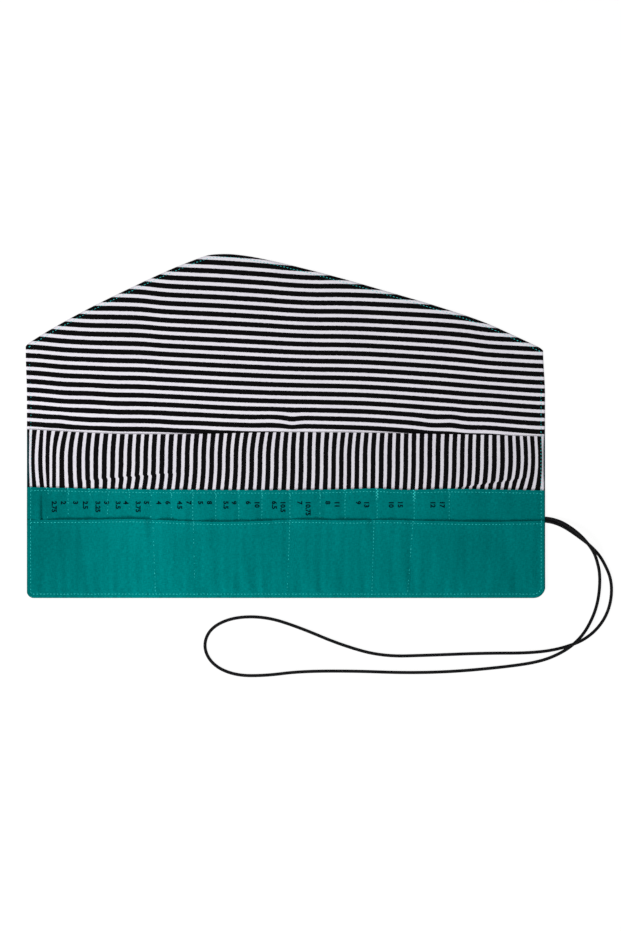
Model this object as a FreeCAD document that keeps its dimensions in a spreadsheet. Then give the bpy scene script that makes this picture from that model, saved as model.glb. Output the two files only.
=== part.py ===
import FreeCAD, Part
import math
import os

import Sketcher
from FreeCAD import Placement, Rotation, Vector

# Fold-up fabric case for knitting needles, laid open on its back, in millimetres.
# The lining faces +Z. X runs along the row of needle channels, +Y points to the flap.
# The origin is under the middle of the open case, on the surface that it lies on.

SIZES = {
    # cloth
    "shell_cloth": 0.8,
    "interlining": 1.0,
    "lining_cloth": 0.6,
    "slip_cloth": 0.5,
    "pocket_cloth": 0.6,
    "hem_fold": 0.4,
    # outline
    "body_height": 210.0,
    "flap_height": 134.0,
    "left_shoulder": 42.0,
    "right_shoulder": 38.5,
    "peak_left": 187.0,
    "peak_right": 205.0,
    "peak_drop": 1.0,
    "left_bulge": 7.6,
    "right_bulge": 10.3,
    "corner_radius": 9.0,
    "seam_allowance": 6.0,
    "inner_gap": 0.3,
    # pocket mouths, measured up from the bottom edge
    "slip_mouth": 168.0,
    "needle_mouth": 109.5,
    "front_mouth": 78.0,
    "slip_hem": 7.0,
    "pocket_hem": 4.0,
    # needle channels
    "channel_rise": 4.3,
    "seam_foot": 0.6,
    "seam_run": 3.0,
    "edge_foot": 4.0,
    "end_run": 10.0,
    # folding
    "fold_gap": 0.4,
    "fold_ease": 0.4,
    # elastic cord
    "cord_diameter": 3.2,
    "cord_height": 76.6,
    "cord_pitch": 3.4,
    "tail_width": 3.0,
    "tail_gap": 0.2,
}
CHANNEL_WIDTHS = [21.0, 20.5, 21.5, 18.0, 21.5, 21.5, 20.5, 21.5, 23.0, 23.0, 23.0, 28.0, 30.0,
                  25.0, 32.0, 37.0, 35.0, 96.0]
LEFT_FOLD_SEAM = 8
RIGHT_FOLD_SEAM = 15
FRONT_SEAMS = (6, LEFT_FOLD_SEAM, 12, RIGHT_FOLD_SEAM, 16)
PANELS = {"left": (0, LEFT_FOLD_SEAM), "centre": (LEFT_FOLD_SEAM, RIGHT_FOLD_SEAM),
          "right": (RIGHT_FOLD_SEAM, len(CHANNEL_WIDTHS))}
for number, width in enumerate(CHANNEL_WIDTHS, 1):
    SIZES[f"channel_{number:02d}"] = width

doc = FreeCAD.newDocument("needle_case")
sheet = doc.addObject("Spreadsheet::Sheet", "Sizes")
for row, (alias, value) in enumerate(SIZES.items(), 1):
    sheet.set(f"A{row}", alias)
    sheet.set(f"B{row}", str(value))
    sheet.setAlias(f"B{row}", alias)
doc.recompute()


class Size:
    # A length that carries its value and the sheet formula that gives it.
    def __init__(self, value, formula):
        self.value = value
        self.formula = formula

    def join(self, other, sign, swap=False):
        other = other if isinstance(other, Size) else Size(other, str(other))
        first, second = (other, self) if swap else (self, other)
        value = {"+": first.value + second.value, "-": first.value - second.value}[sign]
        return Size(value, f"({first.formula} {sign} {second.formula})")

    def __add__(self, other):
        return self.join(other, "+")

    def __radd__(self, other):
        return self.join(other, "+", swap=True)

    def __sub__(self, other):
        return self.join(other, "-")

    def __rsub__(self, other):
        return self.join(other, "-", swap=True)

    def __neg__(self):
        return Size(-self.value, f"(-{self.formula})")

    def __mul__(self, other):
        other = other if isinstance(other, Size) else Size(other, str(other))
        return Size(self.value * other.value, f"({self.formula} * {other.formula})")

    def __truediv__(self, other):
        other = other if isinstance(other, Size) else Size(other, str(other))
        return Size(self.value / other.value, f"({self.formula} / {other.formula})")


def size(alias):
    return Size(SIZES[alias], f"Sizes.{alias}")


ground = Size(0.0, "0")


def bind(obj, path, length):
    obj.setExpression(path, length.formula)


def place(obj, x, y, z):
    bind(obj, "Placement.Base.x", x)
    bind(obj, "Placement.Base.y", y)
    bind(obj, "Placement.Base.z", z)


def box(name, low, high):
    obj = doc.addObject("Part::Box", name)
    for side, a, b in zip(("Length", "Width", "Height"), low, high):
        bind(obj, side, b - a)
    place(obj, *low)
    return obj


def frustum(name, low, high, insets):
    # A block whose top is smaller than its base by insets: left, right, bottom and top edge.
    left, right, bottom, top = insets
    width, depth, height = (b - a for a, b in zip(low, high))
    obj = doc.addObject("Part::Wedge", name)
    for side, length in (("Xmin", ground), ("Ymin", ground), ("Zmin", ground), ("Xmax", width),
                         ("Ymax", height), ("Zmax", depth), ("X2min", left),
                         ("X2max", width - right), ("Z2min", top), ("Z2max", depth - bottom)):
        bind(obj, side, length)
    obj.Placement = Placement(Vector(), Rotation(Vector(1, 0, 0), 90))
    place(obj, low[0], high[1], low[2])
    return obj


def boolean(kind, name, base, tool):
    obj = doc.addObject(f"Part::{kind}", name)
    obj.Base = base
    obj.Tool = tool
    return obj


def union(name, shapes):
    obj = doc.addObject("Part::MultiFuse", name)
    obj.Shapes = shapes
    return obj


def node(label, pieces):
    # The finished sub-part: its pieces of cloth as one group.
    obj = doc.addObject("Part::Compound", label)
    obj.Links = pieces
    obj.Label = label
    nodes.append(obj)
    return obj


nodes = []

# Levels: the base, the slip pocket on it, then the needle channels and the front pocket.
shell_top = size("shell_cloth")
lining_bottom = shell_top + size("interlining")
base_top = lining_bottom + size("lining_cloth")
slip_top = base_top + size("slip_cloth")
needle_lift = size("pocket_cloth")
front_lift = needle_lift + size("pocket_cloth")
crown = slip_top + size("channel_rise")
stack_top = crown + front_lift + size("hem_fold")

# Seam lines along X, from the left edge to the right edge.
case_width = size("channel_01")
for number in range(2, len(CHANNEL_WIDTHS) + 1):
    case_width = case_width + size(f"channel_{number:02d}")
seams = [-case_width / 2]
for number in range(1, len(CHANNEL_WIDTHS)):
    seams.append(seams[-1] + size(f"channel_{number:02d}"))
seams.append(case_width / 2)
left_edge, right_edge = seams[0], seams[-1]
left_fold, right_fold = seams[LEFT_FOLD_SEAM], seams[RIGHT_FOLD_SEAM]

# Lines across the case, along Y.
bottom_edge = -(size("body_height") + size("flap_height")) / 2
top_edge = bottom_edge + size("body_height") + size("flap_height")
flap_fold = bottom_edge + size("body_height")
slip_mouth = bottom_edge + size("slip_mouth")
needle_mouth = bottom_edge + size("needle_mouth")
front_mouth = bottom_edge + size("front_mouth")
end_foot = bottom_edge + size("edge_foot")
end_top = end_foot + size("end_run")

# Hinge heights: each fold has to clear the layers that are folded before it.
flap_axis = (stack_top + size("fold_ease") + base_top) / 2
left_axis = flap_axis * 2 + size("fold_ease") / 2
right_axis = left_axis + (flap_axis * 2 + size("fold_ease")) / 2


# The outline of the open case: straight sides, rounded bottom corners, a peaked flap.
def bulge_radius(a, b, bulge):
    across, along = b[0] - a[0], b[1] - a[1]
    return ((across * across + along * along) / 4 + bulge * bulge) / (bulge * 2)


def outline_sketch(name, corners, curves):
    # corners: points in order. curves: edge number to its radius and its bulge outwards.
    sketch = doc.addObject("Sketcher::SketchObject", name)
    count = len(corners)
    for edge in range(count):
        a, b = (Vector(x.value, y.value, 0) for x, y in (corners[edge], corners[(edge + 1) % count]))
        if edge in curves:
            outward = (b - a).cross(Vector(0, 0, 1)).normalize()
            middle = (a + b) / 2 + outward * curves[edge][1].value
            sketch.addGeometry(Part.Arc(a, middle, b), False)
        else:
            sketch.addGeometry(Part.LineSegment(a, b), False)
    for edge in range(count):
        sketch.addConstraint(Sketcher.Constraint("Coincident", edge, 2, (edge + 1) % count, 1))
    for edge, (x, y) in enumerate(corners):
        for kind, length in (("DistanceX", x), ("DistanceY", y)):
            index = sketch.addConstraint(Sketcher.Constraint(kind, -1, 1, edge, 1, length.value))
            sketch.renameConstraint(index, f"{kind}{edge}")
            bind(sketch, f"Constraints.{kind}{edge}", length)
        if edge in curves:
            radius = curves[edge][0]
            index = sketch.addConstraint(Sketcher.Constraint("Radius", edge, radius.value))
            sketch.renameConstraint(index, f"Radius{edge}")
            bind(sketch, f"Constraints.Radius{edge}", radius)
    return sketch


corner = size("corner_radius")
corner_bulge = corner * (1 - math.sqrt(0.5))
left_shoulder = (left_edge, flap_fold + size("left_shoulder"))
right_shoulder = (right_edge, flap_fold + size("right_shoulder"))
peak_right = (left_edge + size("peak_right"), top_edge - size("peak_drop"))
peak_left = (left_edge + size("peak_left"), top_edge - size("peak_drop"))
outline = outline_sketch(
    "case_outline",
    [
        (left_edge, bottom_edge + corner),
        (left_edge + corner, bottom_edge),
        (right_edge - corner, bottom_edge),
        (right_edge, bottom_edge + corner),
        right_shoulder,
        peak_right,
        peak_left,
        left_shoulder,
    ],
    {
        0: (corner, corner_bulge),
        2: (corner, corner_bulge),
        4: (bulge_radius(right_shoulder, peak_right, size("right_bulge")), size("right_bulge")),
        5: (bulge_radius(peak_right, peak_left, size("peak_drop")), size("peak_drop")),
        6: (bulge_radius(peak_left, left_shoulder, size("left_bulge")), size("left_bulge")),
    },
)


def extrusion(name, base, height):
    obj = doc.addObject("Part::Extrusion", name)
    obj.Base = base
    obj.DirMode = "Custom"
    obj.Dir = Vector(0, 0, 1)
    obj.Solid = True
    bind(obj, "LengthFwd", height)
    return obj


def inset_outline(name, distance):
    obj = doc.addObject("Part::Offset2D", name)
    obj.Source = outline
    bind(obj, "Value", -distance)
    return obj


case_form = extrusion("case_form", outline, stack_top)
hollow_outline = inset_outline("hollow_outline", size("seam_allowance"))
hollow_form = extrusion("hollow_form", hollow_outline, stack_top)
filling_outline = inset_outline("filling_outline", size("seam_allowance") + size("inner_gap"))
filling_form = extrusion("filling_form", filling_outline, stack_top)

# The six zones of the case that the fold lines part.
half_gap = size("fold_gap") / 2
PANEL_SPANS = {
    "left": (left_edge, left_fold - half_gap),
    "centre": (left_fold + half_gap, right_fold - half_gap),
    "right": (right_fold + half_gap, right_edge),
}
ZONE_ROWS = {"": (bottom_edge, flap_fold - half_gap), "_flap": (flap_fold + half_gap, top_edge)}


def cut_from(form, name, low, high):
    return boolean("Common", name, form, box(f"{name}_zone", low, high))


# Cord ends: both are caught flat in the right edge's seam allowance.
cord_low = bottom_edge + size("cord_height")
cord_high = cord_low + size("cord_pitch")
tail_half = size("tail_width") / 2
tail_start = right_edge - size("seam_allowance")


def cord_tails():
    tails = [
        box(f"tail_{spot}", (tail_start, y - tail_half, shell_top),
            (right_edge, y + tail_half, lining_bottom))
        for spot, y in (("low", cord_low), ("high", cord_high))
    ]
    node("cord_tails", tails)


def tail_notch(shell):
    notch = box("tail_notch", (tail_start, cord_low - tail_half - size("tail_gap"), shell_top),
                (right_edge, cord_high + tail_half + size("tail_gap"), lining_bottom))
    return boolean("Cut", "notched_shell", shell, notch)


# Outer shell with its turned-in seam allowance, the interlining in it and the lining on top.
def base_layers(zone, x_span, y_span):
    (x0, x1), (y0, y1) = x_span, y_span
    plate = cut_from(case_form, f"{zone}_plate", (x0, y0, ground), (x1, y1, lining_bottom))
    hollow = cut_from(hollow_form, f"{zone}_hollow", (x0, y0, shell_top), (x1, y1, lining_bottom))
    shell = boolean("Cut", f"{zone}_shell_body", plate, hollow)
    if zone == "right":
        shell = tail_notch(shell)
    node(f"{zone}_outer_shell", [shell])
    filling = cut_from(filling_form, f"{zone}_filling", (x0, y0, shell_top), (x1, y1, lining_bottom))
    node(f"{zone}_interlining", [filling])
    lining = cut_from(case_form, f"{zone}_lining_body", (x0, y0, lining_bottom), (x1, y1, base_top))
    node(f"{zone}_lining", [lining])


# Quilted cloth: flat over each channel, stitched down along the seams and at the edges.
seam_foot, seam_run = size("seam_foot"), size("seam_run")
seam_half = seam_foot + seam_run
edge_half = size("edge_foot") + seam_run


def quilt_form(name, lift, seam_numbers, mouth):
    # Everything under a sheet of cloth whose underside is lift above the channels' inside.
    foot = size("edge_foot")
    bottom, top = slip_top + lift, crown + lift
    hill = frustum(f"{name}_hill", (left_edge + foot, end_foot, bottom),
                   (right_edge - foot, mouth, top), (seam_run, seam_run, size("end_run"), ground))
    if lift.value:
        layer = box(f"{name}_layer", (left_edge, bottom_edge, slip_top), (right_edge, mouth, bottom))
        hill = union(f"{name}_block", [layer, hill])
    grooves = [
        frustum(f"{name}_groove_{number:02d}",
                (seams[number] - seam_foot, bottom_edge, bottom),
                (seams[number] + seam_foot, mouth + seam_run, top),
                (-seam_run, -seam_run, ground, ground))
        for number in seam_numbers
    ]
    return boolean("Cut", name, hill, union(f"{name}_grooves", grooves))


def quilt_cloth(name, upper, lower):
    sheet_form = boolean("Cut", f"{name}_full", upper, lower)
    return boolean("Common", name, sheet_form, case_form)


all_seams = range(1, len(CHANNEL_WIDTHS))
hem_lift = size("hem_fold")
needle_inside = quilt_form("needle_inside", ground, all_seams, needle_mouth)
needle_outside = quilt_form("needle_outside", needle_lift, all_seams, needle_mouth)
needle_hem = quilt_form("needle_hem_top", needle_lift + hem_lift, all_seams, needle_mouth)
front_inside = quilt_form("front_inside", needle_lift, FRONT_SEAMS, front_mouth)
front_outside = quilt_form("front_outside", front_lift, FRONT_SEAMS, front_mouth)
front_hem = quilt_form("front_hem_top", front_lift + hem_lift, FRONT_SEAMS, front_mouth)
needle_cloth = quilt_cloth("needle_cloth", needle_outside, needle_inside)
needle_hem_cloth = quilt_cloth("needle_hem_cloth", needle_hem, needle_outside)
front_cloth = quilt_cloth("front_cloth", front_outside, front_inside)
front_hem_cloth = quilt_cloth("front_hem_cloth", front_hem, front_outside)


def seam_spans(panel, seam_numbers):
    # The stretches along X that a panel's seams hold down.
    first, last = PANELS[panel]
    x0, x1 = PANEL_SPANS[panel]
    spans = []
    if panel == "left":
        spans.append((x0, x0 + edge_half))
    else:
        spans.append((x0, seams[first] + seam_half))
    for number in seam_numbers:
        if first < number < last:
            spans.append((seams[number] - seam_half, seams[number] + seam_half))
    if panel == "right":
        spans.append((x1 - edge_half, x1))
    else:
        spans.append((seams[last] - seam_half, x1))
    return spans


def flat_spans(held):
    return [(a[1], b[0]) for a, b in zip(held, held[1:])]


def pieces(cloth, name, x_spans, y_spans):
    found = []
    for column, (x0, x1) in enumerate(x_spans, 1):
        for part_of, (y0, y1) in y_spans.items():
            found.append(cut_from(cloth, f"{name}{part_of}_{column:02d}",
                                  (x0, y0, slip_top), (x1, y1, stack_top)))
    return found


def pockets(panel):
    x0, x1 = PANEL_SPANS[panel]
    node(f"{panel}_slip_pocket",
         [cut_from(case_form, f"{panel}_slip_cloth", (x0, bottom_edge, base_top),
                   (x1, slip_mouth, slip_top))])
    held = seam_spans(panel, all_seams)
    rows = {"_end": (bottom_edge, end_top), "_channel": (end_top, needle_mouth)}
    node(f"{panel}_needle_pocket", pieces(needle_cloth, f"{panel}_needle", flat_spans(held), rows))
    node(f"{panel}_channel_seams",
         pieces(needle_cloth, f"{panel}_tuck", held, {"": (bottom_edge, needle_mouth)}))
    held = seam_spans(panel, FRONT_SEAMS)
    rows = {"_end": (bottom_edge, end_top), "_flat": (end_top, front_mouth)}
    node(f"{panel}_front_pocket",
         pieces(front_cloth, f"{panel}_front", flat_spans(held), rows)
         + pieces(front_cloth, f"{panel}_front_tuck", held, {"": (bottom_edge, front_mouth)}))
    slip_hem = box(f"{panel}_slip_hem", (x0, slip_mouth - size("slip_hem"), slip_top),
                   (x1, slip_mouth, slip_top + hem_lift))
    hems = [slip_hem]
    for name, cloth, mouth in (("needle", needle_hem_cloth, needle_mouth),
                               ("front", front_hem_cloth, front_mouth)):
        hems.append(cut_from(cloth, f"{panel}_{name}_hem",
                             (x0, mouth - size("pocket_hem"), slip_top), (x1, mouth, stack_top)))
    node(f"{panel}_hems", hems)


for row, y_span in ZONE_ROWS.items():
    for panel, x_span in PANEL_SPANS.items():
        base_layers(panel + row, x_span, y_span)
for panel in PANELS:
    pockets(panel)
cord_tails()

# The elastic loop, as it lies beside the open case: hand-chosen points of its centre line.
CORD_ROUTE = [
    (269.0, -92.0, 1.6), (281.6, -98.8, 3.4), (293.4, -108.4, 7.2), (304.8, -122.0, 8.2),
    (309.6, -131.6, 7.2), (314.3, -150.0, 2.2), (311.8, -178.0, 1.6), (301.8, -201.0, 4.8),
    (289.5, -216.0, 7.8), (273.0, -227.5, 7.2), (252.0, -236.0, 1.9), (217.0, -241.0, 1.6),
    (168.0, -245.5, 1.6), (120.0, -246.8, 1.6), (66.0, -244.8, 1.6), (14.0, -245.2, 1.6),
    (-20.0, -249.5, 1.6), (-50.0, -249.5, 1.6), (-73.0, -239.5, 1.6), (-83.0, -221.0, 1.6),
    (-76.0, -202.0, 1.6), (-53.0, -191.0, 1.6), (-20.0, -190.5, 1.6), (14.0, -201.5, 1.6),
    (54.0, -218.5, 1.6), (96.0, -230.5, 1.6), (146.0, -229.0, 1.6), (198.0, -227.0, 1.6),
    (246.0, -227.0, 1.6), (277.0, -222.3, 1.6), (304.2, -211.0, 1.6), (322.6, -187.5, 1.6),
    (326.8, -157.0, 1.6), (316.4, -133.0, 1.6), (305.5, -120.6, 1.6), (292.5, -110.6, 1.6),
    (281.0, -102.8, 1.6), (268.0, -95.4, 1.6),
]
ARC_SHARE = 0.45
CORD_SIDES = 16


def cord_path():
    low = Vector(right_edge.value, cord_low.value, size("cord_diameter").value / 2)
    high = Vector(right_edge.value, cord_high.value, low.z)
    route = [high] + [Vector(*point) for point in CORD_ROUTE] + [low]
    edges, start, radii = [], route[0], []
    for before, here, after in zip(route, route[1:], route[2:]):
        back, onward = before - here, after - here
        turn = math.pi - back.getAngle(onward)
        reach = ARC_SHARE * min(back.Length, onward.Length)
        radii.append(reach / math.tan(turn / 2))
        begin = here + back.normalize() * reach
        end = here + onward.normalize() * reach
        inward = (back + onward).normalize()
        depth = radii[-1] / math.cos(turn / 2) - radii[-1]
        edges.append(Part.LineSegment(start, begin).toShape())
        edges.append(Part.Arc(begin, here + inward * depth, end).toShape())
        start = end
    edges.append(Part.LineSegment(start, route[-1]).toShape())
    print("cord radii", " ".join(f"{radius:.0f}" for radius in radii))
    return Part.Wire(edges)


def elastic_cord():
    path = cord_path()
    radius = size("cord_diameter").value / 2
    start = path.Edges[0].Vertexes[0].Point
    # a many-sided section with a round cord's area keeps the swept faces light
    step = 2 * math.pi / CORD_SIDES
    reach = radius * math.sqrt(step / math.sin(step))
    corners = [start + Vector(0, math.cos(i * step), math.sin(i * step)) * reach
               for i in range(CORD_SIDES)]
    tube = path.makePipeShell([Part.makePolygon(corners + corners[:1])], True, False)
    cord = doc.addObject("Part::Feature", "elastic_cord")
    cord.Shape = Part.Solid(tube) if tube.ShapeType == "Shell" else tube
    cord.Label = "elastic_cord"
    nodes.append(cord)
    expected = math.pi * radius * radius * path.Length
    print(f"cord length {path.Length:.1f}, volume {cord.Shape.Volume:.0f}, expected {expected:.0f}")


elastic_cord()
doc.recompute()

for obj in doc.Objects:
    if "Invalid" in obj.State or "Error" in obj.State:
        raise RuntimeError(f"{obj.Name} failed: {obj.State}")
for obj in nodes:
    if obj.Shape.isNull() or not obj.Shape.isValid() or not obj.Shape.Solids:
        raise RuntimeError(f"{obj.Label} has no valid solid")
print("fold lines", left_fold.value, right_fold.value, flap_fold.value)
print("hinge heights", flap_axis.value, left_axis.value, right_axis.value)

os.makedirs("parts", exist_ok=True)
for obj in nodes:
    obj.Shape.exportStep(f"parts/{obj.Label}.step")
print(len(nodes), "sub-parts")
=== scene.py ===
import bisect
import bmesh
import bpy
import math
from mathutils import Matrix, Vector, noise


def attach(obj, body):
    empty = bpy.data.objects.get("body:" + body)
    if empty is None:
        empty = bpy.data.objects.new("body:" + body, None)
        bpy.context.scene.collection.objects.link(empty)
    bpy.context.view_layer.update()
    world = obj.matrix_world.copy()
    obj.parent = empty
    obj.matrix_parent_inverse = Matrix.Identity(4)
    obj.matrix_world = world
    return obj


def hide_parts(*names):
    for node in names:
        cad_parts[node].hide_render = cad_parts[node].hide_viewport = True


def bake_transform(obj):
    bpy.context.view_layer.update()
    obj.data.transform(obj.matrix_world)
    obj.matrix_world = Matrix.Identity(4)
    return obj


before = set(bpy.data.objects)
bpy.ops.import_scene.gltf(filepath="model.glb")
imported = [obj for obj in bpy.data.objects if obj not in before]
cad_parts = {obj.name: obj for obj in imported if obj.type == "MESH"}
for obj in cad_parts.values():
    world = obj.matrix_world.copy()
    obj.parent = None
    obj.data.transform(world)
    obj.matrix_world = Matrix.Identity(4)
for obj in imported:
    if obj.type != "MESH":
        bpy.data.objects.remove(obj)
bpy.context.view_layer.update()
scene = bpy.context.scene
mm = 0.001

# Everything below is in millimetres until a mesh is made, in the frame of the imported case
case = dict(
    left=-259.0, right=259.0, bottom=-172.0,
    leftFold=-93.0, rightFold=91.0, flapFold=38.0,
    leftCorner=7.0, rightCorner=11.5, shoulderDrop=1.4, shoulderTurn=5.0, frontMouth=-94.0,
)
channelWidths = [21, 20.5, 21.5, 18, 21.5, 21.5, 20.5, 21.5, 23, 23, 23, 28, 30, 25, 32, 37, 35, 96]
seams = [case["left"]]
for width in channelWidths:
    seams.append(seams[-1] + width)

# ---- camera, straight above the open case
view = dict(lens=100.0, sensor=36.0, height=2586.0, x=24.5, y=-39.5)
cameraData = bpy.data.cameras.new("camera")
cameraData.lens = view["lens"]
cameraData.sensor_width = view["sensor"]
scene.view_settings.view_transform = "Standard"


def placed(name, data):
    thing = bpy.data.objects.new(name, data)
    scene.collection.objects.link(thing)
    return thing


camera = placed("camera", cameraData)
camera.location = (view["x"] * mm, view["y"] * mm, view["height"] * mm)
scene.camera = camera


class Graph:
    # Small helper that wires one material's shader nodes by what they do
    def __init__(self, name):
        self.material = bpy.data.materials.new(name)
        self.material.use_nodes = True
        self.tree = self.material.node_tree
        self.tree.nodes.clear()
        self.output = self.tree.nodes.new("ShaderNodeOutputMaterial")
        self.shader = self.tree.nodes.new("ShaderNodeBsdfPrincipled")
        self.tree.links.new(self.shader.outputs["BSDF"], self.output.inputs["Surface"])

    def finish(self, colour, height, look):
        # Colour from the pattern, relief from its height
        bump = self.tree.nodes.new("ShaderNodeBump")
        self.put(bump.inputs["Height"], height)
        bump.inputs["Strength"].default_value = look["relief"]
        bump.inputs["Distance"].default_value = look["reliefDepth"]
        self.put(self.shader.inputs["Normal"], bump.outputs["Normal"])
        self.put(self.shader.inputs["Base Color"], colour)
        self.put(self.shader.inputs["Roughness"], look["roughness"])
        self.put(self.shader.inputs["Specular IOR Level"], look["specular"])
        return self.material

    def clothUv(self):
        node = self.tree.nodes.new("ShaderNodeUVMap")
        node.uv_map = "cloth"
        return node.outputs["UV"]

    def split(self, vector):
        node = self.tree.nodes.new("ShaderNodeSeparateXYZ")
        self.tree.links.new(vector, node.inputs[0])
        return node.outputs

    def put(self, socket, value):
        if isinstance(value, bpy.types.NodeSocket):
            self.tree.links.new(value, socket)
        else:
            socket.default_value = value

    def math(self, operation, a, b=0.0):
        node = self.tree.nodes.new("ShaderNodeMath")
        node.operation = operation
        self.put(node.inputs[0], a)
        self.put(node.inputs[1], b)
        return node.outputs[0]

    def noise(self, vector, scale, detail):
        node = self.tree.nodes.new("ShaderNodeTexNoise")
        self.put(node.inputs["Vector"], vector)
        node.inputs["Scale"].default_value = scale
        node.inputs["Detail"].default_value = detail
        return node.outputs["Fac"]

    def scaled(self, vector, x, y):
        node = self.tree.nodes.new("ShaderNodeMapping")
        self.put(node.inputs["Vector"], vector)
        node.inputs["Scale"].default_value = (x, y, 1.0)
        return node.outputs["Vector"]

    def ranged(self, value, low, high, outLow, outHigh):
        node = self.tree.nodes.new("ShaderNodeMapRange")
        self.put(node.inputs["Value"], value)
        for name, number in (("From Min", low), ("From Max", high), ("To Min", outLow), ("To Max", outHigh)):
            node.inputs[name].default_value = number
        return node.outputs["Result"]

    def mix(self, factor, a, b, blend="MIX"):
        node = self.tree.nodes.new("ShaderNodeMix")
        node.data_type = "RGBA"
        node.blend_type = blend
        self.put(node.inputs["Factor"], factor)
        self.put(node.inputs["A"], a)
        self.put(node.inputs["B"], b)
        return node.outputs["Result"]


# ---- floor and light
studio = dict(
    floorSize=4.0, floorTone=0.86, floorRoughness=0.9, glowShare=0.87, glow=1.06, worldStrength=0.44,
    key=(12.6, 0.45, (-0.62, -0.88, 1.0)), side=(4.6, 1.0, (-0.9, 0.1, 1.2)),
)


def makeStudio():
    floorMesh = bpy.data.meshes.new("floor")
    half = studio["floorSize"] / 2
    floorMesh.from_pydata([(-half, -half, 0), (half, -half, 0), (half, half, 0), (-half, half, 0)],
                          [], [(0, 1, 2, 3)])
    floor = placed("floor", floorMesh)
    graph = Graph("paleFloor")
    tree, shader = graph.tree, graph.shader
    tone = studio["floorTone"]
    shader.inputs["Base Color"].default_value = (tone, tone, tone, 1)
    shader.inputs["Roughness"].default_value = studio["floorRoughness"]
    glow = tree.nodes.new("ShaderNodeEmission")
    glow.inputs["Color"].default_value = (1, 1, 1, 1)
    mixer = tree.nodes.new("ShaderNodeMixShader")
    rays = tree.nodes.new("ShaderNodeLightPath")
    seen = graph.math("MAXIMUM", rays.outputs["Is Camera Ray"], rays.outputs["Is Glossy Ray"])
    seen = graph.math("MULTIPLY", seen, studio["glowShare"])
    glow.inputs["Strength"].default_value = studio["glow"]
    tree.links.new(seen, mixer.inputs[0])
    tree.links.new(shader.outputs[0], mixer.inputs[1])
    tree.links.new(glow.outputs[0], mixer.inputs[2])
    tree.links.new(mixer.outputs[0], graph.output.inputs["Surface"])
    floorMesh.materials.append(graph.material)

    world = bpy.data.worlds.new("studio")
    world.use_nodes = True
    background = world.node_tree.nodes["Background"]
    background.inputs["Color"].default_value = (1, 1, 1, 1)
    background.inputs["Strength"].default_value = studio["worldStrength"]
    scene.world = world

    for name in ("key", "side"):
        power, size, place = studio[name]
        lamp = bpy.data.lights.new(name, "AREA")
        lamp.energy = power
        lamp.size = size
        light = placed(name, lamp)
        light.location = place
        light.rotation_euler = (-Vector(place)).to_track_quat("-Z", "Y").to_euler()


makeStudio()
print("studio ready")

# ---- elastic cord: one loop, both ends sewn into the right edge
cord = dict(
    diameter=3.2, length=1.116, highEnd=(259.0, -92.1, 1.6), lowEnd=(259.0, -95.1, 1.6), rings=7, steps=8,
    winds=560.0, runs=6.0, dark=(0.0008, 0.0008, 0.0008, 1), pale=(0.007, 0.007, 0.008, 1),
    roughness=0.7, specular=0.08, relief=0.3, reliefDepth=0.0002,
)
cordRoute = [
    (265.5, -92.6, 1.9), (278, -97, 3.6), (293.4, -108.2, 7.2), (304.8, -122, 8.2),
    (309.6, -131.6, 7.2), (314.3, -150, 2.2), (311.8, -178, 1.6), (301.8, -201, 4.8),
    (289.5, -216, 7.8), (273, -227.5, 7.2), (252, -236, 1.9), (217, -241, 1.6),
    (168, -245.5, 1.6), (120, -246.8, 1.6), (66, -244.8, 1.6), (14, -245.2, 1.6),
    (-20, -249.5, 1.6), (-50, -249.5, 1.6), (-73, -239.5, 1.6), (-83, -221, 1.6),
    (-76, -202, 1.6), (-53, -191, 1.6), (-20, -190.5, 1.6), (14, -201.5, 1.6),
    (54, -218.5, 1.6), (96, -230.5, 1.6), (146, -229, 1.6), (198, -227, 1.6),
    (246, -227, 1.6), (277, -222.3, 1.6), (304.2, -211, 1.6), (322.6, -187.5, 1.6),
    (326.8, -157, 1.6), (316.4, -133, 1.6), (305.5, -120.6, 1.6), (292.5, -110.6, 1.6),
    (278, -100.6, 1.6), (265.5, -95.7, 1.6),
]


def cordMaterial():
    # Strands that wind both ways round the cord
    graph = Graph("blackElastic")
    uv = graph.tree.nodes.new("ShaderNodeTexCoord").outputs["UV"]
    around = graph.split(graph.scaled(uv, cord["winds"], cord["runs"]))
    wound = [graph.math("SINE", graph.math("MULTIPLY", graph.math(way, around[0], around[1]), math.tau))
             for way in ("ADD", "SUBTRACT")]
    braid = graph.math("MAXIMUM", *wound)
    colour = graph.mix(graph.ranged(braid, -1.0, 1.0, 0.5, 1.0), cord["dark"], cord["pale"])
    return graph.finish(colour, braid, cord)


def makeCord():
    route = [cord["highEnd"]] + cordRoute + [cord["lowEnd"]]
    curve = bpy.data.curves.new("elasticLoop", "CURVE")
    curve.dimensions = "3D"
    curve.bevel_depth = cord["diameter"] * mm / 2
    curve.bevel_resolution = cord["rings"]
    curve.resolution_u = cord["steps"]
    spline = curve.splines.new("NURBS")
    spline.points.add(len(route) - 1)
    for point, (x, y, z) in zip(spline.points, route):
        point.co = (x * mm, y * mm, z * mm, 1.0)
    spline.order_u = 3
    spline.use_endpoint_u = True
    curve.use_fill_caps = True
    curve.materials.append(cordMaterial())
    loop = placed("elasticLoop", curve)
    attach(loop, "right_panel")
    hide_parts("elastic_cord")
    tuple(v * mm for v in cord["highEnd"])


makeCord()
print("cord laid out")


# ---- outline and shared shape of the cloth
def eased(value):
    value = min(max(value, 0.0), 1.0)
    return value * value * (3 - 2 * value)


def slopeAt(points, i):
    (x0, y0), (x1, y1) = points[max(i - 1, 0)], points[min(i + 1, len(points) - 1)]
    return (y1 - y0) / (x1 - x0)


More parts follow.
